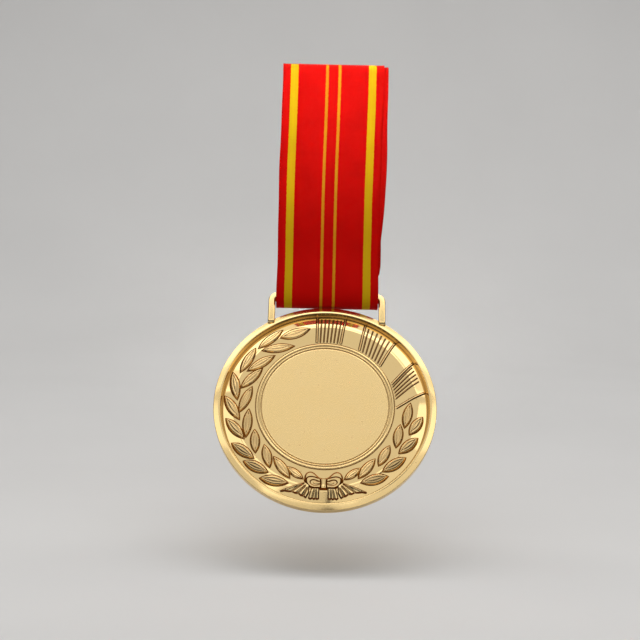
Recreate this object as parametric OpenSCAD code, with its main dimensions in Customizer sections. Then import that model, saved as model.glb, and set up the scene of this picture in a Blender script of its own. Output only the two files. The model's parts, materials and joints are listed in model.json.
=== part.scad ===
// A cast award medal with a slotted suspension loop, on a striped neck ribbon.
// The ribbon hangs over a rail, and the medal swings on it about the loop's top bar.
// Millimetres, +Z up. The origin is the underside of the ribbon's top fold.
// The medal's face looks towards -Y.

/* [Medal] */
// Diameter of the medal over its rim
medal_d = 68; // [60:1:76]
// Thickness at the rim
medal_t = 3; // [2.6:0.1:4]
// Width of the raised rim's face
rim_w = 2.3; // [1.5:0.1:3]
// Depth of the sunk field below the rim
field_depth = 0.8; // [0.6:0.05:1]

/* [Centre] */
// Diameter of the plain panel for engraving
panel_d = 38.8; // [34:0.2:40]
// Width of the double bead round the panel
bead_w = 1.8; // [1.4:0.1:2]
// Height of the bead above the field
bead_h = 0.5; // [0.3:0.05:0.7]
// Height of the panel above the field
panel_h = 0.2; // [0.1:0.05:0.4]

/* [Relief] */
// Height of the laurel leaves above the field
leaf_h = 0.65; // [0.4:0.05:0.8]
// Widest part of a leaf
leaf_w = 3; // [2.4:0.1:3.2]
// Pairs of leaves on the left branch
left_pairs = 8; // [6:1:8]
// Pairs of leaves on the right branch
right_pairs = 4; // [3:1:4]
// Height of the ray ridges above the field
ray_h = 0.35; // [0.2:0.05:0.5]
// Width of one ray ridge
ray_w = 0.42; // [0.3:0.02:0.5]
// Height of the bow above the field
bow_h = 0.6; // [0.4:0.05:0.8]

/* [Suspension loop] */
// Thickness of the loop's bar, shoulders and legs
bar_d = 2.2; // [1.8:0.1:2.4]
// Clear gap between the bar and the medal's edge
slot_gap = 3.1; // [3:0.1:4]
// Clearance between the ribbon's edge and each leg
slot_side = 0.3; // [0.3:0.1:0.8]
// Outer radius of the loop's corners
loop_corner_r = 3; // [2.4:0.1:3.2]

/* [Ribbon] */
// Width of the ribbon
ribbon_w = 32; // [28:1:36]
// Thickness of two plies of ribbon with their air gap
double_t = 1.1; // [0.9:0.05:1.3]
// Thickness of one ply round the bar
ply_t = 0.45; // [0.4:0.05:0.6]
// Outer radius of the loose fold round the bar
eye_r = 3.8; // [3.2:0.1:3.8]
// Height of the ribbon's closed stretch above the bar
eye_h = 17; // [14:1:22]

/* [Hanging] */
// How far the medal leans back from upright at rest
lean = 34.8; // [0:0.2:45]
// Depth of the rail that the ribbon hangs over
rail_gap = 8; // [6:0.5:9]
// Drop from the top fold's underside to the bar's axis
bar_drop = 72.4; // [68:0.2:80]
// How far the bar's axis stands in front of the origin
bar_front = 8.4; // [8.4:0.1:10]

/* [Spare ribbon] */
// Depth of the folded hank behind the rail
hank_t = 6.8; // [6:0.2:8]
// Gap from the top fold's underside to the hank's top
hank_top = 3; // [2.5:0.5:5]
// Height of the hank
hank_h = 65; // [56:1:65]
// Width of the band that holds the hank
tie_w = 5; // [3:0.5:8]
// Thickness of that band
tie_t = 0.35; // [0.3:0.05:0.5]
// Length of the sewn overlap
seam_l = 20; // [14:1:24]
// Width of the sewn overlap between its outer stitches
seam_w = 26; // [20:1:28]

/* [Hidden] */
$fn = 96;

medal_r = medal_d / 2;
rim_r = medal_r - rim_w;
panel_r = panel_d / 2;
bead_r = panel_r + bead_w;
face_z = medal_t / 2;
field_z = face_z - field_depth;
back_dish = 0.25;
edge_round = 0.5;
bar_r = bar_d / 2;
bar_z = face_z - bar_r;
bar_y = medal_r + slot_gap + bar_r;
leg_x = ribbon_w / 2 + slot_side + bar_r;
leg_reach = 1.2;
rail_half = rail_gap / 2;
hank_z = -hank_top - hank_h;
tie_z = -hank_top - 0.55 * hank_h;

gold = "gold";
pale_gold = "khaki";
red = "crimson";

// Places the medal, drawn flat with its centre at the origin and its face up, on the bar's axis.
module hung() {
    translate([0, -bar_front, -bar_drop])
        rotate([90 - lean, 0, 0])
            translate([0, -bar_y, -bar_z])
                children();
}

// ---- Medal ----

// The flan: a plain disc with a softened back edge and a shallow dish in its back.
module medal_disc() {
    color(gold) hung() rotate_extrude()
        polygon([
            [0, -face_z + back_dish],
            [rim_r - back_dish, -face_z + back_dish],
            [rim_r, -face_z],
            [medal_r - edge_round, -face_z],
            [medal_r, -face_z + edge_round],
            [medal_r, field_z],
            [0, field_z]
        ]);
}

// The raised rim, with both edges eased.
module rim_ring() {
    ease = 0.25;
    color(gold) hung() rotate_extrude()
        polygon([
            [rim_r, field_z],
            [medal_r, field_z],
            [medal_r, face_z - 2 * ease],
            [medal_r - 2 * ease, face_z],
            [rim_r + ease, face_z],
            [rim_r, face_z - ease]
        ]);
}

// A staple outline: straight sides and round top corners.
module staple(half, top, corner_r, foot) {
    translate([-half, foot]) square([2 * half, top - corner_r - foot]);
    translate([corner_r - half, foot]) square([2 * (half - corner_r), top - foot]);
    for (side = [-1, 1])
        translate([side * (half - corner_r), top - corner_r]) circle(r = corner_r);
}

// The loop: a round top bar on the hinge axis, and flat shoulders and legs that meet the disc's edge.
module suspension_loop() {
    bar_half = ribbon_w / 2 - 0.4;
    foot = sqrt(medal_r * medal_r - leg_x * leg_x) - leg_reach;
    color(pale_gold) hung() difference() {
        union() {
            translate([-bar_half - bar_r, bar_y, bar_z])
                rotate([0, 90, 0]) cylinder(h = 2 * (bar_half + bar_r), r = bar_r);
            translate([0, 0, bar_z - bar_r]) linear_extrude(bar_d) difference() {
                staple(leg_x + bar_r, bar_y + bar_r, loop_corner_r, foot);
                staple(leg_x - bar_r, bar_y - bar_r, loop_corner_r / 3, foot - 1);
                translate([-bar_half, bar_y - bar_d]) square([2 * bar_half, 2 * bar_d]);
            }
        }
        translate([0, 0, -medal_t]) cylinder(h = 2 * medal_t, r = medal_r);
    }
}

// The plain panel in the middle, where an engraver would work.
module centre_panel() {
    color(pale_gold) hung() translate([0, 0, field_z]) cylinder(h = panel_h, r = panel_r);
}

// The double bead round the panel: two half-round ridges side by side.
module centre_ring() {
    ridge_r = bead_w / 4;
    color(gold) hung() translate([0, 0, field_z]) rotate_extrude() difference() {
        union() {
            translate([panel_r, 0]) square([bead_w, bead_h - ridge_r]);
            for (k = [1, 3])
                translate([panel_r + k * ridge_r, bead_h - ridge_r]) circle(r = ridge_r);
        }
        translate([panel_r - 1, -2]) square([bead_w + 2, 2]);
    }
}

// ---- Relief ----

// A pointed leaf outline along +X, centred, from two equal arcs.
module almond(length, width) {
    arc_r = (length * length + width * width) / (4 * width);
    intersection_for (side = [-1, 1])
        translate([0, side * (arc_r - width / 2)]) circle(r = arc_r);
}

// A leaf with a barrel-shaped top, standing on the plane z = 0.
module leaf(length, width = leaf_w, height = leaf_h) {
    side_h = 0.2;
    crown = height - side_h;
    crown_r = (width * width / 4 + crown * crown) / (2 * crown);
    intersection() {
        linear_extrude(height) almond(length, width);
        translate([-length, 0, height - crown_r])
            rotate([0, 90, 0]) cylinder(h = 2 * length, r = crown_r);
    }
}

// A leaf at radius r, angle a from +X, turned by tilt from the tangent.
// way is -1 where the branch runs clockwise and 1 where it runs the other way.
module placed_leaf(r, a, tilt, length, way, width = leaf_w) {
    rotate(a) translate([r, 0, field_z]) rotate(way * (90 - tilt)) leaf(length, width);
}

// One branch of the wreath, from the bow upwards: pairs of leaves that splay off one stem.
// step(i) is the angle from the bow to the middle of pair i.
function left_step(i) = 33 + 13.3 * i + 0.4 * i * i;
function right_step(i) = 31.5 + 16.2 * i;
function outer_tilt(i, last) = i < last - 1 ? 20 + 2 * (i % 3) : 6;

module laurel_left() {
    color(gold) hung() {
        placed_leaf(24.1, 270 - 20.9, -17, 5.8, -1, 2.2);
        for (i = [0 : left_pairs - 1]) {
            placed_leaf(28.6, 270 - left_step(i) + 0.5, outer_tilt(i, left_pairs - 1), 8.6, -1, 2.9);
            placed_leaf(24.1, 270 - left_step(i) - 0.5, -22, 7.6, -1, 2.7);
        }
        placed_leaf(26.2, 270 - left_step(left_pairs - 1) - 17.5, 0, 8.6, -1, 3);
    }
}

module laurel_right() {
    color(gold) hung() {
        placed_leaf(24, 270 + 20.4, -17, 5.6, 1, 2.2);
        for (i = [0 : right_pairs - 1]) {
            placed_leaf(28.4, 270 + right_step(i) + 0.3, 16, 7.6, 1, 2.8);
            placed_leaf(24.1, 270 + right_step(i) + 0.9, -18, 7, 1, 2.6);
        }
    }
}

// A low bar from the point (r1, a1) to the point (r2, a2), given by radius and angle.
module ray(r1, a1, r2, a2) {
    start = r1 * [cos(a1), sin(a1)];
    run = r2 * [cos(a2), sin(a2)] - start;
    translate([start.x, start.y, field_z])
        rotate(atan2(run.y, run.x))
            translate([0, -ray_w / 2, 0]) cube([norm(run), ray_w, ray_h]);
}

// A sheaf of rays between two borders. in_a and out_a are the borders' angles at the bead and rim.
module ray_fan(in_a, out_a, rays) {
    in_r = bead_r + 0.2;
    border_r = rim_r - 0.4;
    ray_r = rim_r - 1.6;
    for (side = [0, 1]) ray(in_r, in_a[side], border_r, out_a[side]);
    for (k = [1 : rays]) {
        part = k / (rays + 1);
        ray(
            in_r, in_a[0] + part * (in_a[1] - in_a[0]),
            ray_r, out_a[0] + part * (out_a[1] - out_a[0])
        );
    }
}

module ray_fan_left() {
    color(gold) hung() ray_fan([97.5, 77.7], [94.8, 78.6], 6);
}

module ray_fan_middle() {
    color(gold) hung() ray_fan([61.2, 39], [66.6, 46.2], 6);
}

module ray_fan_right() {
    color(gold) hung() ray_fan([20, -1.7], [29.6, 10], 6);
}

// The bow at the foot of the wreath: two front loops, two back loops and the knot between them.
module ribbon_bow() {
    color(gold) hung() translate([0, -25.3, field_z]) {
        translate([-0.7, -1.6, 0]) cube([1.4, 3.2, bow_h + 0.1]);
        for (side = [0, 1]) mirror([side, 0, 0]) {
            translate([3.6, 0.1, 0]) leaf(5.2, 3, bow_h);
            translate([3.3, 2.6, 0]) rotate(14) leaf(4.4, 1.8, bow_h);
        }
    }
}

// The bow's tails: two short ones in the middle and two long ones that follow the rim.
module bow_tails() {
    color(gold) hung() {
        for (side = [0, 1]) mirror([side, 0, 0]) {
            translate([1.9, -29, field_z]) rotate(-72) leaf(3.4, 2.4, bow_h);
            rotate(-79) translate([28.7, 0, field_z]) rotate(72) leaf(5, 1.8, bow_h);
            rotate(-71) translate([30.2, 0, field_z]) rotate(86) leaf(7.4, 1.6, bow_h);
        }
    }
}

// ---- Ribbon ----

// Extrudes an outline drawn in the Y-Z plane across the ribbon's width.
module across_width() {
    rotate([90, 0, 90]) linear_extrude(ribbon_w, center = true) children();
}

// The outline of two plies that close from a loose fold of radius r to a point above it.
module teardrop(r, height) {
    foot = 0.97 * r;
    circle(r = r);
    polygon([[foot, 0], [0, height], [-foot, 0]]);
}

// The front run: two plies that leave the top fold, curve forwards and part round the bar.
module ribbon_front() {
    front_y = -rail_half - double_t / 2;
    eye_top = eye_h - bar_drop;
    line = [
        [front_y, -2], [front_y - 0.5, -8], [front_y - 1.4, -18],
        [front_y - 2.5, -32], [front_y - 3.3, -46], [-bar_front, eye_top - 1.2]
    ];
    color(red) across_width() {
        polygon(concat(
            [for (p = line) p - [double_t / 2, 0]],
            [for (k = [len(line) - 1 : -1 : 0]) line[k] + [double_t / 2, 0]]
        ));
        translate([-bar_front, -bar_drop]) difference() {
            teardrop(eye_r, eye_h);
            teardrop(eye_r - ply_t, eye_h - 4 * ply_t);
        }
    }
}

// A level arch outline with round shoulders. Both its outlines share the shoulders' centres.
module arch(half, shoulder_r, shoulder_drop) {
    inset = half - shoulder_r;
    translate([-half, -2 * hank_top]) square([2 * half, 2 * hank_top - shoulder_drop]);
    translate([-inset, -shoulder_drop]) square([2 * inset, shoulder_r]);
    for (side = [-1, 1]) intersection() {
        translate([side * inset, -shoulder_drop]) circle(r = shoulder_r);
        translate([-half, -shoulder_drop]) square([2 * half, shoulder_r]);
    }
}

// The top fold: two plies over the rail, from the front run to the top of the hank.
module ribbon_top_fold() {
    shoulder = 2;
    outer = rail_half + double_t;
    color(red) across_width() difference() {
        arch(outer, shoulder + double_t, shoulder);
        arch(rail_half, shoulder, shoulder);
        translate([-outer - 1, -2 * hank_top - 1]) square([outer + 1, 2 * hank_top + 1 - shoulder]);
        translate([-1, -2 * hank_top - 1]) square([outer + 2, hank_top + 1]);
    }
}

// The spare ribbon, folded to and fro into a flat hank behind the rail.
module ribbon_hank() {
    end_r = 1.4;
    color(red) across_width() translate([rail_half, hank_z]) union() {
        translate([0, end_r]) square([hank_t, hank_h - end_r]);
        translate([end_r, 0]) square([hank_t - 2 * end_r, end_r + 0.1]);
        for (y = [end_r, hank_t - end_r]) translate([y, end_r]) circle(r = end_r);
    }
}

// The stitches of the sewn overlap, on the hank's outer face: four rows round a rectangle.
module ribbon_seam() {
    stitch = [1.8, 0.3];
    pitch = 2.6;
    rows = floor(seam_w / pitch);
    columns = floor(seam_l / pitch);
    top = -hank_top - 8;
    color("red") translate([0, rail_half + hank_t, top]) {
        for (z = [0, -seam_l], k = [0 : rows - 1])
            translate([(k - (rows - 1) / 2) * pitch - stitch[0] / 2, 0, z])
                cube([stitch[0], 0.2, stitch[1]]);
        for (side = [-1, 1], k = [0 : columns - 1])
            translate([side * seam_w / 2 - stitch[1] / 2, 0, -(k + 0.8) * pitch])
                cube([stitch[1], 0.2, stitch[0]]);
    }
}

// The elastic band round the middle of the hank.
module ribbon_tie() {
    color("white") translate([0, rail_half + hank_t / 2, tie_z]) difference() {
        cube([ribbon_w + 2 * tie_t, hank_t + 2 * tie_t, tie_w], center = true);
        cube([ribbon_w, hank_t, tie_w + 1], center = true);
    }
}

medal_disc();
rim_ring();
suspension_loop();
centre_panel();
centre_ring();
laurel_left();
laurel_right();
ribbon_bow();
bow_tails();
ray_fan_left();
ray_fan_middle();
ray_fan_right();
ribbon_front();
ribbon_top_fold();
ribbon_hank();
ribbon_seam();
ribbon_tie();
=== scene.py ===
"""Looks for the award medal: polished gold relief, satin panel, striped woven ribbon."""
import json
import math

import bpy
import numpy as np
from mathutils import Matrix, Vector, noise


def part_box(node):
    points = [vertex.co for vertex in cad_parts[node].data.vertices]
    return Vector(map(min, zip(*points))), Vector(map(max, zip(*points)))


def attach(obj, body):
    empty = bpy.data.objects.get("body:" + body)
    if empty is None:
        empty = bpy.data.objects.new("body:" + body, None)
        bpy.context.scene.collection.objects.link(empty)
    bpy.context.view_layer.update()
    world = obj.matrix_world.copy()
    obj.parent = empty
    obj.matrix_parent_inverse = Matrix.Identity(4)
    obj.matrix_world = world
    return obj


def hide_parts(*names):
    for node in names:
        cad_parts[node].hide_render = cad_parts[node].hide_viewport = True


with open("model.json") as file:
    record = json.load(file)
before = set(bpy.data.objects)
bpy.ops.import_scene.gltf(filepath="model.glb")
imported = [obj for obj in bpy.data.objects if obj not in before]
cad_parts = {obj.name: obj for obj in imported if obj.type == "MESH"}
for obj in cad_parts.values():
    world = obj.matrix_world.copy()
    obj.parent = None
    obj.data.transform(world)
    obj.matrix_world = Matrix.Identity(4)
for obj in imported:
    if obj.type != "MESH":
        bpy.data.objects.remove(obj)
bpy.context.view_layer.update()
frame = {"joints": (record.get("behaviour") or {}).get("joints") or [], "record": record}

MM = 0.001
RECORD = frame["record"]

# ---------------------------------------------------------------- the medal's own frame
# Millimetres, centre of the disc at the origin, +v up towards the loop, +w out of the face.

MEDAL_R = 34.0
BACK_W = -1.5  # the rim's back, below the disc's middle plane
BAR_V = 38.2  # the loop's bar, above the disc's centre
BAR_W = 0.4  # and in front of the middle plane
BAR_R = 1.1
RIM_FOOT_R = 31.3  # where the rim's inner bevel meets the field
FIELD_W = 0.95  # height of the sunk field beside the bead
PANEL_R = 19.3  # where the panel ends and the bead's ring begins
BEAD_R = 21.2  # where the ring ends and the field begins

HINGE = Vector(frame["joints"][0]["pos_m"])
FACE = next(Vector(m["axis"]) for m in RECORD["mounts"] if m["name"] == "panel_face")
RIGHT = Vector((1, 0, 0))
UP = FACE.cross(RIGHT)


def medal_matrix():
    """From the medal's own millimetres to the row frame in metres."""
    turn = Matrix((RIGHT, UP, FACE)).transposed().to_4x4()
    centre = HINGE - (UP * BAR_V + FACE * BAR_W) * MM
    return Matrix.Translation(centre) @ turn @ Matrix.Scale(MM, 4)


MEDAL = medal_matrix()
ROW = Matrix.Scale(MM, 4)  # from row millimetres to metres


def field_w(r):
    """Height of the sunk field: a low swell outside the bead, then an even slope down to the rim."""
    swell, level_to, bend, slope = 0.25, 26.4, 2.3, 0.335
    r = np.asarray(r, float)
    past = np.clip((r - level_to) / bend, 0, None)
    eased = np.where(past < 1, past**3 - past**4 / 2, past - 0.5)  # the integral of smooth()
    return FIELD_W + swell * smooth((r - BEAD_R) / (level_to - BEAD_R)) - slope * bend * eased


# ---------------------------------------------------------------- mesh helpers


def make(name, verts, faces, matrix, body, material, replaces, attributes=None, uv=None):
    """One smooth-shaded piece from arrays, moved into the row frame, riding on its body."""
    mesh = bpy.data.meshes.new(name)
    mesh.from_pydata([tuple(v) for v in verts], [], [tuple(f) for f in faces])
    mesh.transform(matrix)
    mesh.polygons.foreach_set("use_smooth", [True] * len(mesh.polygons))
    for key, values in (attributes or {}).items():
        mesh.attributes.new(key, "FLOAT", "POINT").data.foreach_set("value", np.asarray(values, np.float32))
    if uv is not None:
        layer = mesh.uv_layers.new(name="along")
        corner = np.array([loop.vertex_index for loop in mesh.loops])
        layer.data.foreach_set("uv", np.asarray(uv, np.float32)[corner].ravel())
    mesh.materials.append(material)
    mesh.validate()
    obj = bpy.data.objects.new(name, mesh)
    bpy.context.scene.collection.objects.link(obj)
    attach(obj, body)
    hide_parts(*replaces)
    return obj


def medal_piece(node, verts, faces, material, marks=None):
    """A piece of the medal in place of the CAD node of that name. marks says where painted shade darkens it,
    0 to 1.
    """
    attributes = None if marks is None else {"painted_shade": marks}
    make(f"{node}_piece", verts, faces, MEDAL, "medal", material, [node], attributes)


class Parts:
    """Collects several small meshes into one piece."""

    def __init__(self):
        self.verts, self.faces, self.marks = [], [], []

    def add(self, verts, faces, mark=None):
        start = len(self.verts)
        self.verts.extend(np.asarray(verts, float).tolist())
        self.faces.extend([tuple(i + start for i in f) for f in faces])
        self.marks.extend([0.0] * len(verts) if mark is None else list(mark))


def arc(centre, radius, start, end, steps):
    """Points on an arc, from the angle start to the angle end, in degrees."""
    return [
        (centre[0] + radius * math.cos(a), centre[1] + radius * math.sin(a))
        for a in np.radians(np.linspace(start, end, steps))
    ]


def lengths(points):
    """How far along the line each of its points is."""
    return np.concatenate([[0], np.cumsum(np.linalg.norm(np.diff(points, axis=0), axis=1))])


def resample(points, step):
    """Evenly spaced points along a line."""
    at = lengths(points)
    want = np.linspace(0, at[-1], max(2, int(round(at[-1] / step)) + 1))
    return np.column_stack([np.interp(want, at, points[:, k]) for k in range(points.shape[1])])


def fillet(points, radii, steps):
    """Rounds the corners of a closed outline: radii[i] is the radius at points[i], 0 for sharp."""
    out = []
    for i, p in enumerate(points):
        radius = radii[i]
        if not radius:
            out.append(p)
            continue
        a, b, c = (np.array(points[j], float) for j in (i - 1, i, (i + 1) % len(points)))
        to_a, to_c = (a - b) / np.linalg.norm(a - b), (c - b) / np.linalg.norm(c - b)
        half = math.acos(np.clip(to_a @ to_c, -1, 1)) / 2
        cut = radius / math.tan(half)
        centre = b + (to_a + to_c) / np.linalg.norm(to_a + to_c) * radius / math.sin(half)
        start, end = b + to_a * cut - centre, b + to_c * cut - centre
        sweep = math.acos(np.clip(start @ end / radius**2, -1, 1))
        for k in range(steps + 1):
            t = k / steps
            q = centre + (math.sin((1 - t) * sweep) * start + math.sin(t * sweep) * end) / math.sin(sweep)
            out.append(tuple(q))
    return out


def lathe(profile, segments=360, closed=False):
    """Turns an (r, w) outline round the w axis. A point with r = 0 becomes a pole."""
    verts, faces, rings = [], [], []
    for r, w in profile:
        if r < 1e-6:
            rings.append([len(verts)])
            verts.append((0, 0, w))
            continue
        rings.append(list(range(len(verts), len(verts) + segments)))
        for k in range(segments):
            a = 2 * math.pi * k / segments
            verts.append((r * math.cos(a), r * math.sin(a), w))
    pairs = list(zip(rings, rings[1:])) + ([(rings[-1], rings[0])] if closed else [])
    for low, high in pairs:
        for k in range(segments):
            n = (k + 1) % segments
            if len(low) == 1:
                faces.append((low[0], high[n], high[k]))
            elif len(high) == 1:
                faces.append((low[k], low[n], high[0]))
            else:
                faces.append((low[k], low[n], high[n], high[k]))
    return verts, faces


def grid_faces(rows, columns, wrap_columns=False, wrap_rows=False):
    """Quads of a grid whose vertex (row, column) is number row * columns + column."""
    faces = []
    for i in range(rows if wrap_rows else rows - 1):
        for j in range(columns if wrap_columns else columns - 1):
            a, b = i * columns + j, i * columns + (j + 1) % columns
            c, d = ((i + 1) % rows) * columns + (j + 1) % columns, ((i + 1) % rows) * columns + j
            faces.append((a, b, c, d))
    return faces


def smooth(x):
    """0 to 1 with level ends."""
    x = np.clip(x, 0, 1)
    return x * x * (3 - 2 * x)


# ---------------------------------------------------------------- materials


class Nodes:
    """A material and a short way to write its node tree."""

    def __init__(self, name):
        self.material = bpy.data.materials.new(name)
        self.material.use_nodes = True
        self.tree = self.material.node_tree
        self.shader = self.tree.nodes["Principled BSDF"]

    def add(self, kind, inputs=None, **settings):
        node = self.tree.nodes.new(kind)
        for key, value in settings.items():
            setattr(node, key, value)
        for key, value in (inputs or {}).items():
            if isinstance(value, bpy.types.NodeSocket):
                self.tree.links.new(value, node.inputs[key])
            else:
                node.inputs[key].default_value = value
        return node

    def link(self, socket, key):
        self.tree.links.new(socket, self.shader.inputs[key])

    def set(self, **values):
        for key, value in values.items():
            self.shader.inputs[key.replace("_", " ")].default_value = value

    def math(self, operation, a, b=0.0):
        return self.add("ShaderNodeMath", {0: a, 1: b}, operation=operation).outputs[0]

    def noise(self, vector, scale, detail=3.0, roughness=0.5):
        inputs = {"Vector": vector, "Scale": scale, "Detail": detail, "Roughness": roughness}
        return self.add("ShaderNodeTexNoise", inputs).outputs["Fac"]

    def span(self, value, low, high, to_low, to_high):
        inputs = {"Value": value, "From Min": low, "From Max": high, "To Min": to_low, "To Max": to_high}
        return self.add("ShaderNodeMapRange", inputs).outputs["Result"]

    def mix(self, factor, a, b):
        node = self.add("ShaderNodeMix", {"Factor": factor}, data_type="RGBA")
        for key, value in ((6, a), (7, b)):
            if isinstance(value, bpy.types.NodeSocket):
                self.tree.links.new(value, node.inputs[key])
            else:
                node.inputs[key].default_value = (*value, 1)
        return node.outputs[2]

    def bump(self, height, strength, distance, normal=None):
        inputs = {"Height": height, "Strength": strength, "Distance": distance}
        if normal is not None:
            inputs["Normal"] = normal
        return self.add("ShaderNodeBump", inputs).outputs["Normal"]


GOLD = (0.88, 0.645, 0.30)
WARM_GOLD = (0.85, 0.61, 0.265)
# the near-black brown that painted shade darkens the gold to
PAINTED_SHADE_GOLD = (0.17, 0.050, 0.002)


def gold(name, rough, grain, pits):
    """Gold plate on a casting: soft tint changes, a fine grain, a few tiny pits, and painted shade in
    near-black brown in the pits, recesses, walls and outlines.
    """
    n = Nodes(name)
    place = n.add("ShaderNodeTexCoord").outputs["Object"]
    clouds = n.noise(place, 260, 3)
    fine = n.noise(place, 7000, 2, 0.6)
    tint = n.mix(n.span(clouds, 0.35, 0.7, 0, 0.5), GOLD, WARM_GOLD)
    cell = n.add("ShaderNodeTexVoronoi", {"Vector": place, "Scale": 420.0}).outputs
    some = n.math("GREATER_THAN", cell["Color"], 0.62)  # only some of the cells hold a pit
    pit = n.math("MULTIPLY", n.span(cell["Distance"], 0.05, 0.11, 1, 0), some)
    # painted shade: the marks the pieces carry, and the pits, darken the gold towards the near-black brown
    recess = n.add("ShaderNodeAttribute", attribute_name="painted_shade").outputs["Fac"]
    painted_shade = n.math("MAXIMUM", recess, n.math("MULTIPLY", pit, 0.4))
    n.link(n.mix(painted_shade, tint, PAINTED_SHADE_GOLD), "Base Color")
    uneven = n.math("ADD", n.span(clouds, 0.3, 0.7, -0.01, 0.01), n.span(fine, 0.3, 0.7, -0.01, 0.02))
    n.link(n.math("ADD", n.math("MULTIPLY", painted_shade, 0.2), n.math("ADD", uneven, rough)), "Roughness")
    grained = n.bump(fine, grain, 0.00001)
    n.link(n.bump(n.math("MULTIPLY", pit, -1.0), pits, 0.00004, grained), "Normal")
    n.set(Metallic=1.0)
    return n.material


def ribbon_material():
    """Woven polyester: red ground, two wide and two thin yellow stripes, fine cross ribs."""
    n = Nodes("woven_ribbon")
    uv = n.add("ShaderNodeSeparateXYZ", {0: n.add("ShaderNodeUVMap", uv_map="along").outputs[0]})
    across, along = uv.outputs[0], uv.outputs[1]  # millimetres from the middle, millimetres along
    stretched = {0: n.math("MULTIPLY", across, 9.0), 1: n.math("MULTIPLY", along, 1.1)}
    thread = n.add("ShaderNodeCombineXYZ", stretched).outputs[0]
    fray = n.span(n.noise(thread, 1.0, 2), 0.2, 0.8, -0.09, 0.09)
    side = n.math("ADD", n.math("ABSOLUTE", across), fray)

    def stripe(centre, width):
        off = n.math("ABSOLUTE", n.math("SUBTRACT", side, centre))
        return n.span(off, width / 2 - 0.07, width / 2 + 0.07, 1, 0)

    wide, thin = stripe(12.3, 2.4), stripe(1.96, 0.85)
    cloud = n.noise(n.add("ShaderNodeCombineXYZ", {0: across, 1: along}).outputs[0], 0.16, 3)
    red = n.mix(n.span(cloud, 0.3, 0.7, 0, 1), (0.49, 0.0018, 0.0005), (0.54, 0.0022, 0.0007))
    colour = n.mix(wide, red, (0.57, 0.345, 0.004))
    colour = n.mix(thin, colour, (0.57, 0.225, 0.007))
    rib_pitch, thread_pitch = 0.34, 0.22
    rib = n.math("SINE", n.math("MULTIPLY", along, 2 * math.pi / rib_pitch))
    warp = n.math("SINE", n.math("MULTIPLY", across, 2 * math.pi / thread_pitch))
    weave = n.math("ADD", n.math("MULTIPLY", rib, 0.5), n.math("MULTIPLY", warp, 0.35))
    # painted shade: darker where the weave is low
    shade = n.span(weave, -0.85, 0.85, 0.86, 1.06)
    n.link(n.add("ShaderNodeVectorMath", {0: colour, 3: shade}, operation="SCALE").outputs[0], "Base Color")
    n.link(n.bump(weave, 0.35, 0.00006), "Normal")
    n.link(n.span(n.noise(thread, 0.6, 2), 0.3, 0.7, 0.52, 0.66), "Roughness")
    n.set(Specular_IOR_Level=0.03, Sheen_Weight=0.03, Sheen_Tint=(1, 0.2, 0.1, 1))
    return n.material


def thread_material():
    """Red sewing thread, darker between its twists as painted shade."""
    n = Nodes("seam_thread")
    place = n.add("ShaderNodeTexCoord").outputs["Object"]
    twist = n.add("ShaderNodeTexWave", {"Vector": place, "Scale": 900.0, "Distortion": 1.0}).outputs["Fac"]
    # painted shade between the twists
    n.link(n.mix(twist, (0.42, 0.004, 0.004), (0.66, 0.012, 0.008)), "Base Color")
    n.link(n.bump(twist, 0.4, 0.00005), "Normal")
    n.set(Roughness=0.55, Specular_IOR_Level=0.2, Sheen_Weight=0.05)
    return n.material


def elastic_material():
    """A cream knitted elastic band with fine ribs along it, with painted shade between the ribs."""
    n = Nodes("knitted_elastic")
    uv = n.add("ShaderNodeSeparateXYZ", {0: n.add("ShaderNodeUVMap", uv_map="along").outputs[0]})
    rib_pitch, knit_pitch = 0.62, 0.5
    rib = n.math("SINE", n.math("MULTIPLY", uv.outputs[0], 2 * math.pi / rib_pitch))
    knit = n.math("SINE", n.math("MULTIPLY", uv.outputs[1], 2 * math.pi / knit_pitch))
    cloth = n.math("ADD", n.math("MULTIPLY", rib, 0.7), n.math("MULTIPLY", knit, 0.3))
    # painted shade: paler on the ribs, darker between them
    n.link(n.mix(n.span(cloth, -1, 1, 0, 1), (0.62, 0.6, 0.54), (0.84, 0.83, 0.78)), "Base Color")
    n.link(n.bump(cloth, 0.5, 0.00012), "Normal")
    n.set(Roughness=0.75, Sheen_Weight=0.2)
    return n.material


POLISHED = gold("polished_gold", 0.13, 0.02, 0.1)
SATIN = gold("satin_gold", 0.25, 0.12, 0.3)
CAST = gold("cast_gold", 0.06, 0.06, 0.15)

# ---------------------------------------------------------------- medal pieces


def rim_ring():
    """The raised border, on both faces: a bevelled inner wall, then a crown that falls gently outwards."""
    wall_top, wall_foot = 31.92, (RIM_FOOT_R, float(field_w(RIM_FOOT_R)))
    front = [wall_foot, (wall_top, 1.29), (32.15, 1.28), (32.4, 1.24), (MEDAL_R, 0.74)]
    back = [(MEDAL_R, BACK_W), (31.7, BACK_W), (31.35, -1.0), (RIM_FOOT_R, -0.6)]
    outline = fillet(front + back, [0, 0.1, 0.2, 0.6, 0.18, 0.45, 0.2, 0, 0], 8)
    verts, faces = lathe(outline, closed=True)
    x, y, w = np.array(verts).T
    # painted shade on the inner bevel wall
    on_wall = (np.hypot(x, y) < wall_top - 0.05) & (w > -0.5)
    medal_piece("rim_ring", verts, faces, POLISHED, 0.65 * on_wall)


def medal_disc():
    """The flan: its plain back, and the sunk field that falls away towards the rim."""
    back, edge, under_panel = -1.25, 31.6, 0.6
    field = [(r, float(field_w(r))) for r in np.linspace(edge - 0.1, BEAD_R - 0.3, 40)]
    outline = [(0, back), (edge - 0.2, back), (edge, back), (edge, -0.45)] + field
    outline += [(PANEL_R - 1, under_panel), (0, under_panel)]
    verts, faces = lathe(outline)
    medal_piece("medal_disc", verts, faces, CAST)


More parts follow.
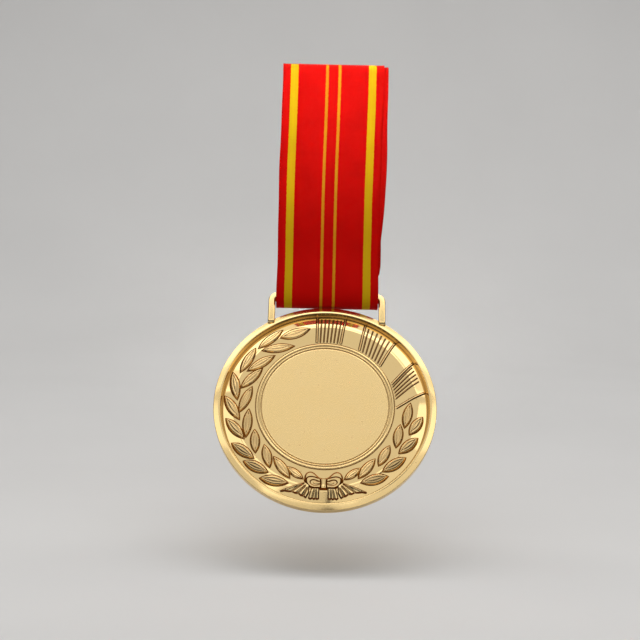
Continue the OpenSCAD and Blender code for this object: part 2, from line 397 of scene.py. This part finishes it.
def centre_ring():
    """A half-round bead and a finer one inside it, with painted shade in the grooves beside them, at the
    beads' feet and on the flat rim outside.
    """
    beads = ((19.56, 20.04, 1.12), (20.3, 21.1, 1.28))  # inner radius, outer radius, top
    foot, low, flange = 0.5, FIELD_W - 0.16, FIELD_W + 0.012
    steps, segments = 12, 360
    outline, marks = [(PANEL_R - 0.1, foot), (19.48, FIELD_W - 0.2)], [0.3, 0.8]
    for inner, outer, top in beads:
        middle, half = (inner + outer) / 2, (outer - inner) / 2
        for k in range(steps + 1):
            a = math.pi * (1 - k / steps)
            outline.append((middle + half * math.cos(a), low + (top - low) * math.sin(a) ** 0.7))
            # painted shade, darkest at the foot of each bead
            marks.append(0.95 * float(smooth((0.65 - math.sin(a)) / 0.4)))
    outline += [(21.12, flange), (21.32, flange), (21.32, foot)]
    marks += [0.9, 0.7, 0]
    verts, faces = lathe(outline, segments, closed=True)
    medal_piece("centre_ring", verts, faces, POLISHED, np.repeat(marks, segments))


def centre_panel():
    """The satin panel, level, with a faint raised lip and an eased edge."""
    face, lip, foot = 1.0, 1.02, 0.6
    outline = [(0, foot), (19.4, foot), (19.36, 0.9), (19.15, lip), (18.95, lip)]
    outline += [(18.7, face), (8, face), (0, face)]
    verts, faces = lathe(outline, 288)
    medal_piece("centre_panel", verts, faces, SATIN)


def suspension_loop():
    """A cast staple: flat legs and shoulders, and a round bar where the ribbon turns."""
    leg_x, bend_r, foot = 17.4, 1.9, 28.35
    bend = arc((leg_x - bend_r, BAR_V - bend_r), bend_r, 0, 90, 9)
    leg = [(leg_x, v) for v in np.linspace(foot, BAR_V - bend_r - 0.3, 8)]
    half_bar = [(x, BAR_V) for x in np.linspace(leg_x - bend_r - 0.2, 0, 12)]
    right = leg + bend + half_bar
    path = np.array(right + [(-x, v) for x, v in right[-2::-1]])
    ways = np.gradient(path, axis=0)
    ways /= np.linalg.norm(ways, axis=1)[:, None]
    columns, verts = 32, []
    for (x, v), (dx, dv) in zip(path, ways):
        square = float(smooth((abs(x) - 14.2) / 1.2))  # 0 on the round bar, 1 on the flat shoulders
        power = 2 + 5 * square
        for k in range(columns):
            a = 2 * math.pi * (k + 0.5) / columns
            c, s = math.cos(a), math.sin(a)
            reach = BAR_R / (abs(c) ** power + abs(s) ** power) ** (1 / power)
            side, depth = reach * c, reach * s
            verts.append((x - dv * side, v + dx * side, BAR_W + depth * 0.97))
    faces = grid_faces(len(path), columns, wrap_columns=True)
    faces += [tuple(range(columns))[::-1], tuple(range(len(verts) - columns, len(verts)))]
    medal_piece("suspension_loop", verts, faces, POLISHED)


# ---- relief


def place(local, r, angle, turn):
    """Turns (x, y) points by turn degrees and moves them to radius r at that angle from +x, in degrees."""
    a, b = math.radians(angle), math.radians(turn)
    c, s = math.cos(b), math.sin(b)
    x = local[:, 0] * c - local[:, 1] * s + r * math.cos(a)
    y = local[:, 0] * s + local[:, 1] * c + r * math.sin(a)
    return np.column_stack([x, y])


def leaf(parts, r, angle, turn, length, width, height=0.6):
    """A pointed leaf in a painted dark outline of shade: steep walls, a full crown and a lens-shaped vein
    down its middle. Painted shade also dims the whole leaf a little, and more in the vein and the slit.
    """
    rows, columns = 48, 39
    skirt, outline, wall = 0.05, 0.26, 0.42
    t = np.linspace(-1, 1, rows)
    t = 0.5 * np.sin(t * math.pi / 2) + 0.5 * t
    s = np.linspace(-1, 1, columns)
    arc_r = (length**2 + width**2) / (4 * width)
    half = np.sqrt(arc_r**2 - (t * length / 2) ** 2) - (arc_r - width / 2)
    half = np.maximum(half, 0.02)
    tt, ss = np.meshgrid(t, s, indexing="ij")
    local = np.column_stack([(tt * length / 2).ravel(), (ss * half[:, None]).ravel()])
    flat = place(local, r, angle, turn)
    edge = (1 - np.abs(ss)) * half[:, None]  # millimetres in from the leaf's outline
    climb = smooth((edge - outline) / wall)
    crown = 0.62 + 0.38 * np.clip(1 - ss**2, 0, 1)
    lens = np.abs(ss) - 0.26 * np.clip(1 - (tt / 0.66) ** 2, 0, 1)
    vein = np.exp(-((lens / 0.09) ** 2)) * (np.abs(tt) < 0.66)
    slit = np.exp(-((ss / 0.07) ** 2)) * (np.abs(tt) >= 0.5) * (np.abs(tt) < 0.86)
    rise = skirt * (smooth(edge / 0.08) * 1.3 - 1) + (height * crown - 0.1 * vein) * climb - 0.07 * slit
    w = field_w(np.hypot(*flat.T)) + rise.ravel()
    # painted shade: darkest on the outline and the walls, a little over the whole leaf, more in the vein and
    # the slit
    flank = 1 - smooth((edge - outline + 0.02) / (wall - 0.1))
    mark = np.maximum(flank, 0.24 + 0.38 * vein + 0.4 * slit)
    parts.add(np.column_stack([flat, w]), grid_faces(rows, columns), mark.ravel())


def branch_leaf(parts, way, r, angle, tilt, *size):
    """A leaf of one branch. The angle counts from the bow at the foot of the disc, anticlockwise where way
    is 1 and clockwise where it is -1. The tilt is from the tangent, outwards."""
    leaf(parts, r, 270 + way * angle, 270 + way * (angle + 90 - tilt), *size)


def laurels():
    """Both branches. A pair of leaves is its two angles, tilts and lengths, the outer leaf's first."""
    left = [
        (31, 31.5, 19, -23, 9.0, 8.8),
        (45, 45, 18, -31, 8.7, 7.9),
        (58, 59.5, 21, -27, 8.9, 7.9),
        (73.5, 75, 23, -19, 9.0, 9.4),
        (88, 94, 28, -19, 9.4, 9.2),
        (103, 111.5, 23, -22, 9.6, 9.2),
        (122.5, 125.5, 5, -21, 9.5, 9.8),
        (143, 143, 5, -27, 9.8, 10.0),
    ]
    right = [
        (32.5, 32, 15, -21, 8.8, 8.4),
        (48, 48, 13, -16, 8.8, 7.7),
        (63.5, 66.5, 20, -14, 8.0, 7.8),
        (78, 84, 21, 6, 7.2, 8.3),
    ]
    for node, pairs, way in (("laurel_left", left, -1), ("laurel_right", right, 1)):
        parts = Parts()
        branch_leaf(parts, way, 24.0, 20.9, -17, 6.9, 2.8, 0.5)  # the small leaf beside the bow
        for outer, inner, outer_tilt, inner_tilt, outer_l, inner_l in pairs:
            outer_r = 28.9 if outer < 60 and way < 0 else 28.3
            inner_r = 25.2 if inner_tilt > 0 else 24.25
            longer = 0.5 + 0.7 * float(smooth((outer - 50) / 40))
            outer, inner = outer - longer * 0.7, inner - longer * 0.8
            branch_leaf(parts, way, outer_r, outer, outer_tilt, outer_l + longer, 3.5)
            branch_leaf(parts, way, inner_r, inner, inner_tilt, inner_l + longer, 3.35)
        if way < 0:
            branch_leaf(parts, way, 26.3, 158.3, -1, 10.6, 3.9)  # the leaf at the branch's tip
        medal_piece(node, parts.verts, parts.faces, CAST, parts.marks)


def ridge(parts, start, end, width, height, crest):
    """A raised line that follows the field. Painted shade darkens it from crest outwards, a share of its
    half width, and lightly all over.
    """
    rows, columns, blunt = 22, 17, 0.4
    start, end = np.array(start, float), np.array(end, float)
    run = end - start
    length = np.linalg.norm(run)
    side = np.array([-run[1], run[0]]) / length
    t = np.linspace(0, 1, rows)
    s = np.linspace(-1, 1, columns)
    tt, ss = np.meshgrid(t, s, indexing="ij")
    flat = start + tt[..., None] * run + (ss * width / 2)[..., None] * side
    ends = np.clip(np.minimum(tt, 1 - tt) * length / blunt, 0, 1) ** 0.5
    rise = height * ends * np.clip(1 - np.abs(ss) ** 1.6, 0, 1) - 0.06 * (np.abs(ss) > 0.99)
    w = field_w(np.hypot(flat[..., 0], flat[..., 1])) + rise - 0.02
    # painted shade, darker beyond the crest
    mark = (0.3 + 0.68 * smooth((np.abs(ss) - crest) / 0.3)) * ends
    parts.add(np.column_stack([flat.reshape(-1, 2), w.ravel()]), grid_faces(rows, columns), mark.ravel())


def polar(r, angle):
    """The point (x, y) at radius r and that angle, in degrees."""
    return r * math.cos(math.radians(angle)), r * math.sin(math.radians(angle))


def ray_fans():
    """Three sheaves. Each is (node, angles of its two borders at the bead, and at the rim, rays)."""
    fans = (
        ("ray_fan_left", (97.8, 78.0), (95.2, 78.8), 6),
        ("ray_fan_middle", (61.4, 39.2), (66.8, 46.2), 6),
        ("ray_fan_right", (20.2, -1.5), (29.8, 10.2), 5),
    )
    start_r, ray_r = 21.45, 30.2
    for node, inner, outer, rays in fans:
        parts = Parts()
        spread = 1 / (rays + 1) if rays == 6 else 0.125  # the right sheaf is plain below its rays
        for side in (0, 1):
            ridge(parts, polar(start_r, inner[side]), polar(RIM_FOOT_R, outer[side]), 1.05, 0.3, 0.15)
        for k in range(1, rays + 1):
            part = k * spread
            at_bead = inner[0] + part * (inner[1] - inner[0])
            at_rim = outer[0] + part * (outer[1] - outer[0])
            ridge(parts, polar(start_r, at_bead), polar(ray_r, at_rim), 0.62, 0.26, -0.1)
        medal_piece(node, parts.verts, parts.faces, CAST, parts.marks)


# ---- the bow


def rounded(points, steps=8):
    """A closed smooth line through the points (Catmull-Rom)."""
    p = np.array(points, float)
    out = []
    for a, b, c, d in zip(np.roll(p, 1, 0), p, np.roll(p, -1, 0), np.roll(p, -2, 0)):
        for t in np.linspace(0, 1, steps, endpoint=False):
            out.append(0.5 * (2 * b + (c - a) * t + (2 * a - 5 * b + 4 * c - d) * t**2
                              + (3 * b - a - 3 * c + d) * t**3))
    return out


def inside(x, y, outline):
    """Distance in from a closed outline: above 0 inside it, below 0 outside."""
    near, odd = np.full(x.shape, 1e9), np.zeros(x.shape, bool)
    for (ax, ay), (bx, by) in zip(outline, list(outline[1:]) + [outline[0]]):
        dx, dy = bx - ax, by - ay
        t = np.clip(((x - ax) * dx + (y - ay) * dy) / (dx * dx + dy * dy + 1e-12), 0, 1)
        near = np.minimum(near, np.hypot(x - ax - t * dx, y - ay - t * dy))
        if ay != by:
            odd ^= ((ay > y) != (by > y)) & (x < ax + (y - ay) * dx / dy)
    return np.where(odd, near, -near)


def groove(x, y, start, end, width=0.2):
    """1 along the line from start to end, falling to 0 beside it."""
    dx, dy = end[0] - start[0], end[1] - start[1]
    t = np.clip(((x - start[0]) * dx + (y - start[1]) * dy) / (dx * dx + dy * dy), 0, 1)
    off = np.hypot(x - start[0] - t * dx, y - start[1] - t * dy)
    return np.exp(-((off / width) ** 2))


def layered(low, high, edge, wall=0.4):
    """Puts a raised shape over another: high wins inside its outline, with a steep wall round it."""
    return np.where(edge > 0, np.maximum(low * (1 - smooth(edge / 0.1)), high * smooth(edge / wall)), low)


def bow_height(x, y):
    """The bow above the field: loops behind, then the front loops with their hollows, then the knot."""
    x = np.abs(x)
    behind = rounded([
        (5.5, -25.4), (5.65, -24.0), (5.4, -22.9), (4.8, -22.2), (4.0, -21.95), (3.2, -22.15),
        (2.6, -22.6), (2.0, -23.2), (1.3, -23.8), (0.3, -24.1), (-0.8, -24.3), (-0.8, -25.6), (2.5, -26),
    ])
    loop = rounded([
        (0.6, -24.4), (1.8, -23.9), (3.2, -23.5), (4.5, -23.6), (5.25, -24.25), (5.3, -25.2),
        (4.95, -26.1), (4.1, -26.95), (3.0, -27.35), (1.7, -27.35), (0.6, -27.2),
    ])
    hollow = rounded([
        (0.9, -25.3), (1.8, -24.8), (2.9, -24.5), (3.8, -24.7), (4.15, -25.4), (3.8, -26.1),
        (2.9, -26.55), (1.8, -26.5), (0.9, -26.1),
    ])
    tuck = rounded([(0.9, -25.3), (1.9, -25.1), (2.9, -25.25), (3.2, -25.7), (2.3, -26.1), (1.1, -25.9)])
    h = layered(0 * x, 0.34 + 0 * x, inside(x, y, behind))
    edge = inside(x, y, loop)
    band = 0.56 - 0.06 * np.abs(edge - 0.5)
    dip = inside(x, y, hollow)
    band = band - 0.24 * smooth(dip / 0.3) + 0.13 * smooth(inside(x, y, tuck) / 0.3)
    h = layered(h, band, edge)
    above = (y + 25.9) / 1.75
    knot = np.minimum(1.04 - 0.1 * np.cos(above * 3) - x, 1.75 - np.abs(y + 25.9))
    return layered(h, 0.84 - 0.3 * x**2 - 0.12 * above**2, knot, 0.3)


def tail_height(x, y):
    """The pleated tails: two long ones fanned out along the rim, and two short ones below the loops."""
    x = np.abs(x)
    long_tail = [
        (4.2, -26.2), (5.5, -25.3), (9.0, -26.45), (12.8, -27.75), (12.6, -28.15),
        (11.5, -28.0), (10.3, -28.2), (9.2, -28.25), (8.4, -28.7), (7.4, -28.75),
        (6.7, -29.35), (5.9, -29.55), (5.2, -30.05), (4.3, -28.6),
    ]
    pleats = (((5.9, -26.0), (9.4, -28.2)), ((5.4, -26.6), (7.5, -28.7)), ((4.7, -27.3), (5.9, -29.5)))
    creases = (((5.6, -25.6), (11.0, -27.55)), ((5.5, -26.3), (8.5, -28.5)), ((5.1, -27.0), (6.7, -29.2)))
    h = 0.4 + 0.12 * sum(groove(x, y, a, b, 0.24) for a, b in creases)
    h = h - 0.3 * sum(groove(x, y, a, b, 0.2) for a, b in pleats)
    h = layered(0 * x, np.maximum(h, 0.02), inside(x, y, long_tail), 0.26)
    short_tail = [
        (1.2, -27.2), (1.35, -28.8), (1.3, -30.2), (1.9, -30.45), (2.3, -30.2), (2.8, -30.45),
        (3.3, -30.15), (3.9, -30.4), (4.45, -30.0), (4.0, -28.6), (3.6, -27.2),
    ]
    folds = 0.44 - 0.22 * groove(x, y, (2.75, -27.9), (3.25, -30.0))
    folds -= 0.2 * groove(x, y, (2.1, -27.9), (2.3, -30.0))
    return layered(h, folds, inside(x, y, short_tail), 0.26)


def grow(values, cells):
    """The highest value within that many grid cells."""
    out = values.copy()
    for dy in range(-cells, cells + 1):
        for dx in range(-cells, cells + 1):
            if dx * dx + dy * dy <= cells * cells:
                out = np.maximum(out, np.roll(np.roll(values, dy, 0), dx, 1))
    return out


def relief_patch(node, height, x_range, y_range, step, shade):
    """A grid over part of the field, raised by height(x, y), with a painted dark outline of shade round the
    relief.
    shade says how dark the painted shade on the steep places and the outline is."""
    xs = np.arange(x_range[0], x_range[1] + step / 2, step)
    ys = np.arange(y_range[0], y_range[1] + step / 2, step)
    xx, yy = np.meshgrid(xs, ys, indexing="xy")
    h = height(xx, yy)
    tall = (h > 0.004).astype(float)
    outline = grow(tall, 3)  # a flat border, three cells wide, painted dark as shade
    keep = grow(tall, 4) > 0  # and one more cell, which dives into the field
    lift = np.where(tall > 0, h, np.where(outline > 0, 0.012, -0.05))
    w = field_w(np.hypot(xx, yy)) + lift
    index = -np.ones(h.shape, int)
    index[keep] = np.arange(keep.sum())
    verts = np.column_stack([xx[keep], yy[keep], w[keep]])
    faces = []
    for i in range(len(ys) - 1):
        for j in range(len(xs) - 1):
            corners = (index[i, j], index[i, j + 1], index[i + 1, j + 1], index[i + 1, j])
            if min(corners) >= 0:
                faces.append(corners)
    gy, gx = np.gradient(h, step)
    # painted shade on the steep places and on the flat border round the relief
    steep = grow(np.clip(np.hypot(gx, gy) * shade - 0.25, 0, 1), 1)
    mark = np.maximum(steep, min(0.9, shade) * (outline - tall))[keep]
    medal_piece(node, verts, faces, CAST, mark)


def bow():
    """The bow and its tails, each on its own grid."""
    step = 0.06
    relief_patch("ribbon_bow", bow_height, (-6.0, 6.0), (-27.9, -21.6), step, 1.7)
    relief_patch("bow_tails", tail_height, (-13.2, 13.2), (-30.8, -25.1), step, 0.7)


# ---------------------------------------------------------------- ribbon

RIBBON_W = 32.0
PLY_T = 0.42
STACK = 0.54  # between the middles of two plies that lie together
BAR_Y, BAR_Z = HINGE.y / MM, HINGE.z / MM
EYE_R = 3.57  # middle of the ply round the bar
EYE_TOP = BAR_Z + 17.5
RAIL_HALF = 4.0
LAP = 20.0  # sewn overlap
HANK_RUNS = 5
HANK_PITCH = 1.28
HANK_TOP, HANK_FOOT = -6.0, -65.5
RUN_Y = RAIL_HALF + 0.55  # middle of the doubled ribbon's first run behind the rail
HANK_Y = RUN_Y + (HANK_RUNS - 1) * HANK_PITCH  # middle of its last run
TIE_Z = -38.75
COLUMNS = 33  # points across the ribbon


def doubled_route():
    """The doubled ribbon's middle line in (y, z): up the front, over the rail, to and fro in the hank."""
    shoulder, shoulder_z = 2.45, -1.9
    front = [
        (BAR_Y + (-RUN_Y - BAR_Y) * ((z - EYE_TOP) / (-2 - EYE_TOP)) ** 1.6, z)
        for z in np.linspace(EYE_TOP, -2.4, 40)
    ]
    flat_half = RUN_Y - shoulder
    route = front + arc((-flat_half, shoulder_z), shoulder, 180, 92, 9)
    route += arc((flat_half, shoulder_z), shoulder, 88, 0, 9)
    for run in range(HANK_RUNS):
        y = RUN_Y + run * HANK_PITCH
        down = run % 2 == 0
        foot, top = HANK_FOOT + 0.7 * (run % 3), HANK_TOP - 0.5 * (run % 2)
        start, end = (-3.2 if run == 0 else top, foot) if down else (foot, top)
        route += [(y, z) for z in np.linspace(start, end, 40)]
        if run < HANK_RUNS - 1:
            turn = (180, 360) if down else (180, 0)
            route += arc((y + HANK_PITCH / 2, end), HANK_PITCH / 2, *turn, 9)[1:-1]
    return np.array(route)


def side_normals(points):
    """Unit normals of a line in its own (y, z) plane."""
    way = np.gradient(points[:, :2], axis=0)
    way /= np.linalg.norm(way, axis=1)[:, None]
    return np.column_stack([-way[:, 1], way[:, 0]])


def offset(points, by):
    """The line moved sideways in its own (y, z) plane."""
    moved = points.copy()
    moved[:, :2] += side_normals(points) * np.reshape(by, (-1, 1))
    return moved


def rear_slip(z):
    """How far the rear ply has slipped to the right at that height."""
    return 1.9 * smooth((z + 71) / 40)


def with_drift(route, rear):
    """Adds the ribbon's sideways wander (x) to a ply."""
    y, z = route.T
    behind = smooth((y + 3.5) / 6)
    slipped = rear_slip(z) if rear else 0.55 * smooth((z + 45) / 45)
    folds = 0.55 + (0.5 if rear else 0) + 0.3 * np.sin(y * 2.1) * smooth(-z / 12)
    return np.column_stack([route, slipped * (1 - behind) + folds * behind])


def ribbon_loop():
    """The strip's middle line (y, z, x): from the bar up one ply, round the hank's end, down the other."""
    route = resample(doubled_route(), 0.5)
    for _ in range(3):  # eases the joints between arcs and straights
        route[1:-1] = (route[:-2] + 2 * route[1:-1] + route[2:]) / 4
    front = offset(with_drift(route, False), STACK / 2)  # forwards, to -Y, on the front run
    rear = offset(with_drift(route, True), -STACK / 2)
    part = np.linspace(0, 1, 40)[:-1]
    spread = STACK / 2 + (EYE_R - STACK / 2) * (1 - smooth(part)) ** 1.15
    z = BAR_Z + (EYE_TOP - BAR_Z) * part
    eye_front = np.column_stack([BAR_Y - spread, z, 0 * z])
    eye_rear = np.column_stack([BAR_Y + spread, z, rear_slip(z)])
    under = np.array(arc((BAR_Y, BAR_Z), EYE_R, 270, 180, 12)[:-1])
    under_rear = np.array(arc((BAR_Y, BAR_Z), EYE_R, 0, -90, 12)[1:])
    under, under_rear = (np.column_stack([points, 0 * points[:, 0]]) for points in (under, under_rear))
    way = route[-1] - route[-2]
    way /= np.linalg.norm(way)
    side = side_normals(route)[-1]
    angles = np.linspace(0, math.pi, 9)[1:-1, None]
    turn = route[-1] + (side * np.cos(angles) + way * np.sin(angles)) * STACK / 2
    turn = np.column_stack([turn, np.linspace(front[-1, 2], rear[-1, 2], len(turn))])
    return np.vstack([under, eye_front, front, turn, rear[::-1], eye_rear[::-1], under_rear])


def ribbon_strip():
    """The loop cut at the seam, so that it starts and ends with the sewn overlap."""
    loop = resample(ribbon_loop(), 0.9)
    seam_z = -31
    near_seam = np.where(loop[:, 0] > HANK_Y, -np.abs(loop[:, 1] - seam_z), -1e9)
    loop = np.roll(loop, -int(np.argmax(near_seam)), axis=0)
    lap_points = int(np.searchsorted(lengths(loop)[1:], LAP))
    strip = np.vstack([loop, loop[: lap_points + 1]])
    return resample(strip, 0.9)


def settled(strip, along, normals):
    """The strip as it lies: its end on its start, one ply further out, and pinched a little by the tie."""
    lap_from, ease, pinch_y = along[-1] - LAP - 4, 4, 7.4
    lift = smooth((along - lap_from) / ease) * (PLY_T + 0.04) * np.sign(normals[0, 0])
    line = strip[:, :2] + normals * lift[:, None]
    pinch = np.exp(-(((line[:, 1] - TIE_Z) / 7) ** 2)) * (line[:, 0] > 2)
    line[:, 0] += pinch * (pinch_y - line[:, 0]) * 0.12
    return line


def ribbon():
    """The whole ribbon as one strip, with fuller edges and a slight ripple and waver."""
    strip = ribbon_strip()
    along, normals = lengths(strip), side_normals(strip)
    line, shift = settled(strip, along, normals), strip[:, 2]
    s = np.linspace(-1, 1, COLUMNS)
    edge = PLY_T / 2 * (1 + 0.25 * smooth((np.abs(s) - 0.95) / 0.05))
    rows, verts, uv = len(line), [], []
    for i in range(rows):
        y, z = line[i]
        ny, nz = normals[i]
        waver = 0.06 * math.sin(along[i] / 7.3) + 0.05 * math.sin(along[i] / 3.1 + 1)
        for face in (1, -1):
            for j in range(COLUMNS)[::face]:
                x = s[j] * RIBBON_W / 2 + shift[i] + waver * abs(s[j]) ** 6 * np.sign(s[j])
                ripple = 0.05 * noise.noise(Vector((s[j] * 1.4, along[i] / 16, 0.3)))
                off = face * edge[j] + ripple
                verts.append((x, y + ny * off, z + nz * off))
                uv.append((s[j] * RIBBON_W / 2, along[i]))
    ring = 2 * COLUMNS
    faces = grid_faces(rows, ring, wrap_columns=True)
    last = (rows - 1) * ring
    for j in range(COLUMNS - 1):
        faces.append((j + 1, j, ring - 1 - j, ring - 2 - j))
        faces.append((last + j, last + j + 1, last + ring - 2 - j, last + ring - 1 - j))
    obj = make(
        "ribbon_strip", verts, faces, ROW, "ribbon", ribbon_material(),
        ["ribbon_front", "ribbon_top_fold", "ribbon_hank"], uv=uv,
    )


def stitch(parts, start, end):
    """A short thread on the cloth's outer face that dives at both ends."""
    start, end, rise = (np.array(p, float) for p in (start, end, (0, 1, 0)))
    rows, columns, radius = 9, 8, 0.16
    way = (end - start) / np.linalg.norm(end - start)
    side = np.cross(way, rise)
    verts = []
    for i in range(rows):
        t = i / (rows - 1)
        centre = start + (end - start) * t + rise * radius * 1.1 * (math.sin(math.pi * t) ** 0.6 - 0.5)
        thick = radius * (0.55 + 0.45 * math.sin(math.pi * t) ** 0.5)
        for k in range(columns):
            a = 2 * math.pi * k / columns
            verts.append(centre + thick * (math.cos(a) * side + math.sin(a) * rise))
    faces = grid_faces(rows, columns, wrap_columns=True)
    faces += [tuple(range(columns))[::-1], tuple(range((rows - 1) * columns, rows * columns))]
    parts.add(verts, faces)


def middles(low, high, pitch):
    """The middles of the equal stretches, about a pitch long, between low and high."""
    count = int((high - low) / pitch)
    return [low + (k + 0.5) * (high - low) / count for k in range(count)]


def seam():
    """Stitches round the sewn overlap, on the hank's outer face."""
    low, high = (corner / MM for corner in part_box("ribbon_seam"))
    x0, x1 = low.x + 0.6, high.x - 0.6
    z0, z1 = low.z + 0.8, high.z - 0.8
    surface = HANK_Y + STACK / 2 + 1.5 * PLY_T + 0.04
    shift, pitch, half = 0.9, 2.3, 0.85  # drift to the right, stitch to stitch, half a stitch's length
    parts = Parts()
    for z in (z0, z1):
        for x in middles(x0, x1, pitch):
            stitch(parts, (x + shift - half, surface, z), (x + shift + half, surface, z))
    for x in (x0 + shift, x1 + shift):
        for z in middles(z0, z1, pitch):
            stitch(parts, (x, surface, z - half), (x, surface, z + half))
    make(
        "ribbon_seam_piece", parts.verts, parts.faces, ROW, "ribbon", thread_material(),
        ["ribbon_seam"],
    )


def tie():
    """A flat elastic band round the hank."""
    low, high = (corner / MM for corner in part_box("ribbon_tie"))
    middle = (low + high) / 2
    half_x, half_y = (high.x - low.x) / 2 - 0.2, (high.y - low.y) / 2 - 0.55
    corner, thick, tall = 1.6, 0.6, high.z - low.z - 0.4
    shift, step = 0.7, 0.5  # the hank's drift to the right, and the distance between points
    corners = [(-half_x, -half_y), (half_x, -half_y), (half_x, half_y), (-half_x, half_y)]
    outline = fillet(corners, [corner] * 4, 10)
    outline = resample(np.array(outline + outline[:1]), step)[:-1]
    back, ahead = np.roll(outline, 1, axis=0), np.roll(outline, -1, axis=0)
    way = ahead - back
    way /= np.linalg.norm(way, axis=1)[:, None]
    out = np.column_stack([way[:, 1], -way[:, 0]])
    levels = np.linspace(-1, 1, 11)
    section = [(thick / 2, t) for t in levels] + [(-thick / 2, t) for t in levels[::-1]]
    verts, uv = [], []
    for i, p in enumerate(outline):
        at = (i + 1) * step
        sway = 0.25 * math.sin(at / 9)
        for off, t in section:
            swell = off * (1 - 0.35 * abs(t) ** 4)
            q = p + out[i] * swell
            verts.append((middle.x + shift + q[0], middle.y + q[1], TIE_Z + t * tall / 2 + sway))
            uv.append((t * tall / 2, at))
    faces = grid_faces(len(outline), len(section), wrap_columns=True, wrap_rows=True)
    make(
        "ribbon_tie_piece", verts, faces, ROW, "ribbon", elastic_material(),
        ["ribbon_tie"], uv=uv,
    )


# ---------------------------------------------------------------- stage, light and camera


def stage():
    """Pale paper: a level floor that curves up into a backdrop, darker far in front as painted shade
    standing in for the unlit room that the gold reflects.
    """
    floor_z, depth, rise, curve, half = -0.150, 0.42, 1.5, 0.35, 0.6
    line = [(-1.6, floor_z), (depth - 0.1, floor_z)]
    line += arc((depth, floor_z + curve), curve, -90, 0, 24)
    line += [(depth + curve, rise)]
    verts = [(x, y, z) for y, z in line for x in (-half, half)]
    mesh = bpy.data.meshes.new("sweep")
    mesh.from_pydata(verts, [], grid_faces(len(line), 2))
    mesh.polygons.foreach_set("use_smooth", [True] * len(mesh.polygons))
    n = Nodes("pale_paper")
    place = n.add("ShaderNodeTexCoord").outputs["Object"]
    pale = n.mix(n.noise(place, 9, 4), (0.62, 0.615, 0.61), (0.68, 0.675, 0.67))
    depth_in = n.add("ShaderNodeSeparateXYZ", {0: place}).outputs[1]
    # painted shade: near black far in front, in place of the unlit room before the medal
    n.link(n.mix(n.span(depth_in, -0.28, -0.12, 0, 1), (0.08, 0.08, 0.08), pale), "Base Color")
    n.set(Roughness=0.9, Specular_IOR_Level=0.1)
    mesh.materials.append(n.material)
    obj = bpy.data.objects.new("sweep", mesh)
    bpy.context.scene.collection.objects.link(obj)


def softbox(name, place, aim, size, radiance, lean=0):
    """A rectangular light with a face of that radiance, whatever its size. lean tips it, in degrees."""
    data = bpy.data.lights.new(name, "AREA")
    data.shape, data.size, data.size_y = "RECTANGLE", size[0], size[1]
    data.energy, data.color = radiance * math.pi * size[0] * size[1], (1, 0.985, 0.96)
    obj = bpy.data.objects.new(name, data)
    look = (Vector(aim) - Vector(place)).to_track_quat("-Z", "Y").to_matrix().to_4x4()
    obj.matrix_world = Matrix.Translation(place) @ look @ Matrix.Rotation(math.radians(lean), 4, "Z")
    bpy.context.scene.collection.objects.link(obj)
    return data


def grid_light(name, place, aim, size, spread, power):
    """A softbox behind a honeycomb grid: its power in watts, and its light kept within spread degrees."""
    light = softbox(name, place, aim, size, 0)
    light.energy, light.spread = power, math.radians(spread)


def lights():
    """Softboxes that the gold mirrors, near ones over the ribbon, and one for the backdrop."""
    medal = (0, -0.03, -0.10)
    over_ribbon = (0, -0.03, -0.03)
    softbox("top_box", (0, -0.182, 0.155), medal, (0.80, 0.18), 0.57)
    softbox("front_middle", (-0.06, -0.60, 0.32), medal, (0.46, 0.40), 0.74)
    softbox("front_left", (-0.42, -0.75, 0.38), medal, (1.15, 0.30), 0.62, -28)
    softbox("front_right", (0.47, -0.72, 0.40), medal, (1.15, 0.30), 0.76, 28)
    softbox("near_box", (0, -0.041, 0.075), over_ribbon, (0.38, 0.078), 0.95)
    softbox("rail_box", (0, -0.038, 0.070), over_ribbon, (0.13, 0.070), 0.50)
    grid_light("ribbon_light", (0, -0.33, 0.12), (0, -0.005, 0.004), (0.10, 0.04), 20, 0.027)
    softbox("over_box", (0, 0.05, 0.50), medal, (0.90, 0.30), 0.80)
    softbox("rear_box", (0.35, 0.50, 0.50), medal, (0.60, 0.40), 0.5)
    softbox("backdrop_light", (0, 0.35, 0.85), (0, 0.65, 0.1), (1.6, 0.35), 3.3)


def studio_world():
    """A dim studio: darker near the level of the camera, lighter overhead."""
    world = bpy.data.worlds.new("studio")
    bpy.context.scene.world = world
    world.use_nodes = True
    tree = world.node_tree
    back = tree.nodes["Background"]
    way = tree.nodes.new("ShaderNodeTexCoord")
    split = tree.nodes.new("ShaderNodeSeparateXYZ")
    ramp = tree.nodes.new("ShaderNodeMapRange")
    values = {"From Min": 0.1, "From Max": 0.9, "To Min": 0.09, "To Max": 0.24}
    for key, value in values.items():
        ramp.inputs[key].default_value = value
    tree.links.new(way.outputs["Generated"], split.inputs[0])
    tree.links.new(split.outputs[2], ramp.inputs["Value"])
    tree.links.new(ramp.outputs["Result"], back.inputs["Strength"])
    back.inputs["Color"].default_value = (0.95, 0.97, 1, 1)


def camera():
    """A long lens level with the middle of the ribbon, looking a little down and rolled a little."""
    data = bpy.data.cameras.new("camera")
    data.sensor_width, data.lens = 36.0, 79.8
    data.clip_start, data.clip_end = 0.05, 20
    obj = bpy.data.objects.new("camera", data)
    obj.location = (-0.0021, -0.4572, -0.0328)
    pitch, roll = math.radians(5.97), math.radians(1.24)
    look = Matrix.Rotation(math.radians(90) - pitch, 4, "X") @ Matrix.Rotation(roll, 4, "Z")
    obj.rotation_euler = look.to_euler()
    bpy.context.scene.collection.objects.link(obj)
    bpy.context.scene.camera = obj


bpy.context.scene.view_settings.view_transform = "Standard"
camera()
medal_disc()
rim_ring()
centre_ring()
centre_panel()
suspension_loop()
laurels()
ray_fans()
bow()
seam()
tie()
ribbon()
stage()
lights()
studio_world()
